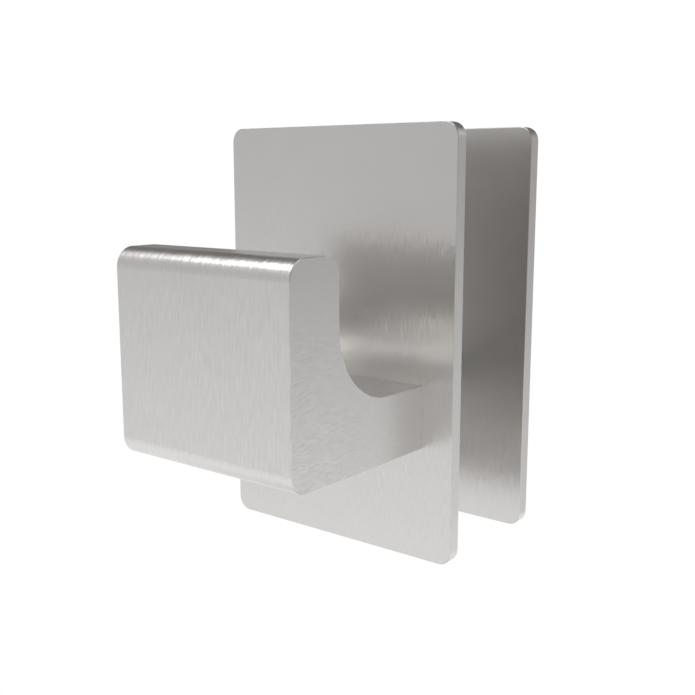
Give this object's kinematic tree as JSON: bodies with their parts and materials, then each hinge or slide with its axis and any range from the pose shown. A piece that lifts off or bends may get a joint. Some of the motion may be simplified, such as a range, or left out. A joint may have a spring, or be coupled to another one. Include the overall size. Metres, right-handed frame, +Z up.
{
  "type": "robe hook",
  "caption": "Wide J-shaped robe hook in brushed stainless steel, clamped through a panel between two rectangular plates by a countersunk screw in a sleeve.",
  "frame": {"origin": "centre of the front plate's rear face, where the panel's front face lies", "axes": "+Y into the panel, +Z up, +X to the right seen from in front; the hook stands out towards -Y"},
  "size_m": [0.06, 0.0735, 0.09],
  "materials": {
    "hook_steel": "fine brushed stainless, grain upright on the front and along the arm on the flanks",
    "plate_steel": "fine brushed stainless, grain upright",
    "screw_steel": "plain turned stainless",
    "sleeve_plastic": "matt grey nylon"
  },
  "bodies": {
    "root": {"hook": "hook_steel", "front_plate": "plate_steel", "back_plate": "plate_steel", "clamp_screw": "screw_steel", "dowel_pins": "screw_steel", "spacer_sleeve": "sleeve_plastic"}
  },
  "joints": []
}
